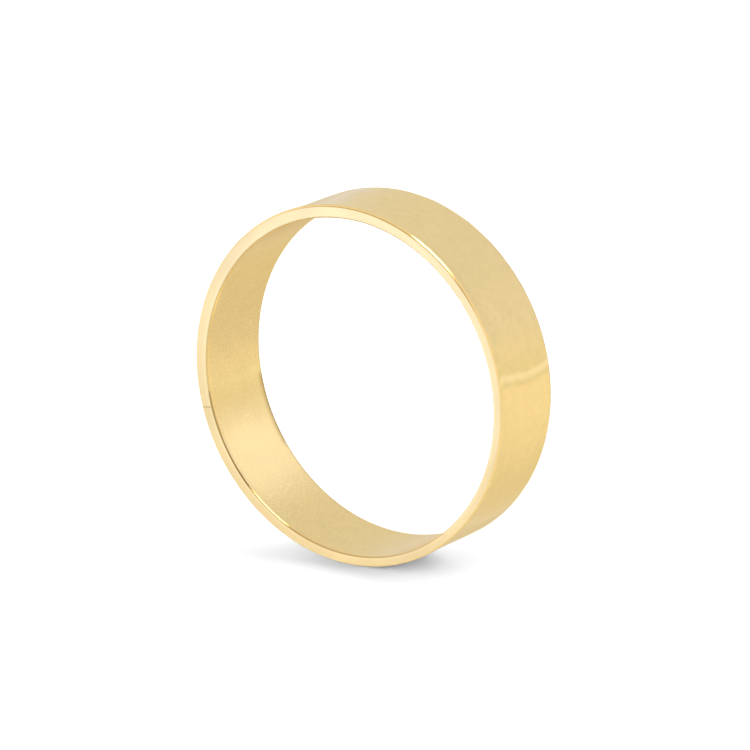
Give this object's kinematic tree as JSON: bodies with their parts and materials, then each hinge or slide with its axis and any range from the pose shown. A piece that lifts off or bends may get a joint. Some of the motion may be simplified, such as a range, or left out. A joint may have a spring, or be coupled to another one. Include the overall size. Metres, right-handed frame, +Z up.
{
  "type": "wedding band",
  "caption": "Plain flat finger ring: a thin strip of yellow gold bent round, butted end to end and soldered, with a polished outside and a satin bore.",
  "frame": {"origin": "centre of the finger bore, half way between the two rims", "axes": "+Z up with the band standing upright on its outside face, Y along the bore (the finger), -Y towards the front rim, +X to the right seen from the front"},
  "size_m": [0.0202, 0.005, 0.0202],
  "materials": {
    "yellow_gold": "outside mirror polished, bore satin, rims finely brushed",
    "gold_solder": "slightly darker, filed flush with the strip"
  },
  "bodies": {
    "root": {"shank": "yellow_gold", "solder_seam": "gold_solder"}
  },
  "joints": []
}
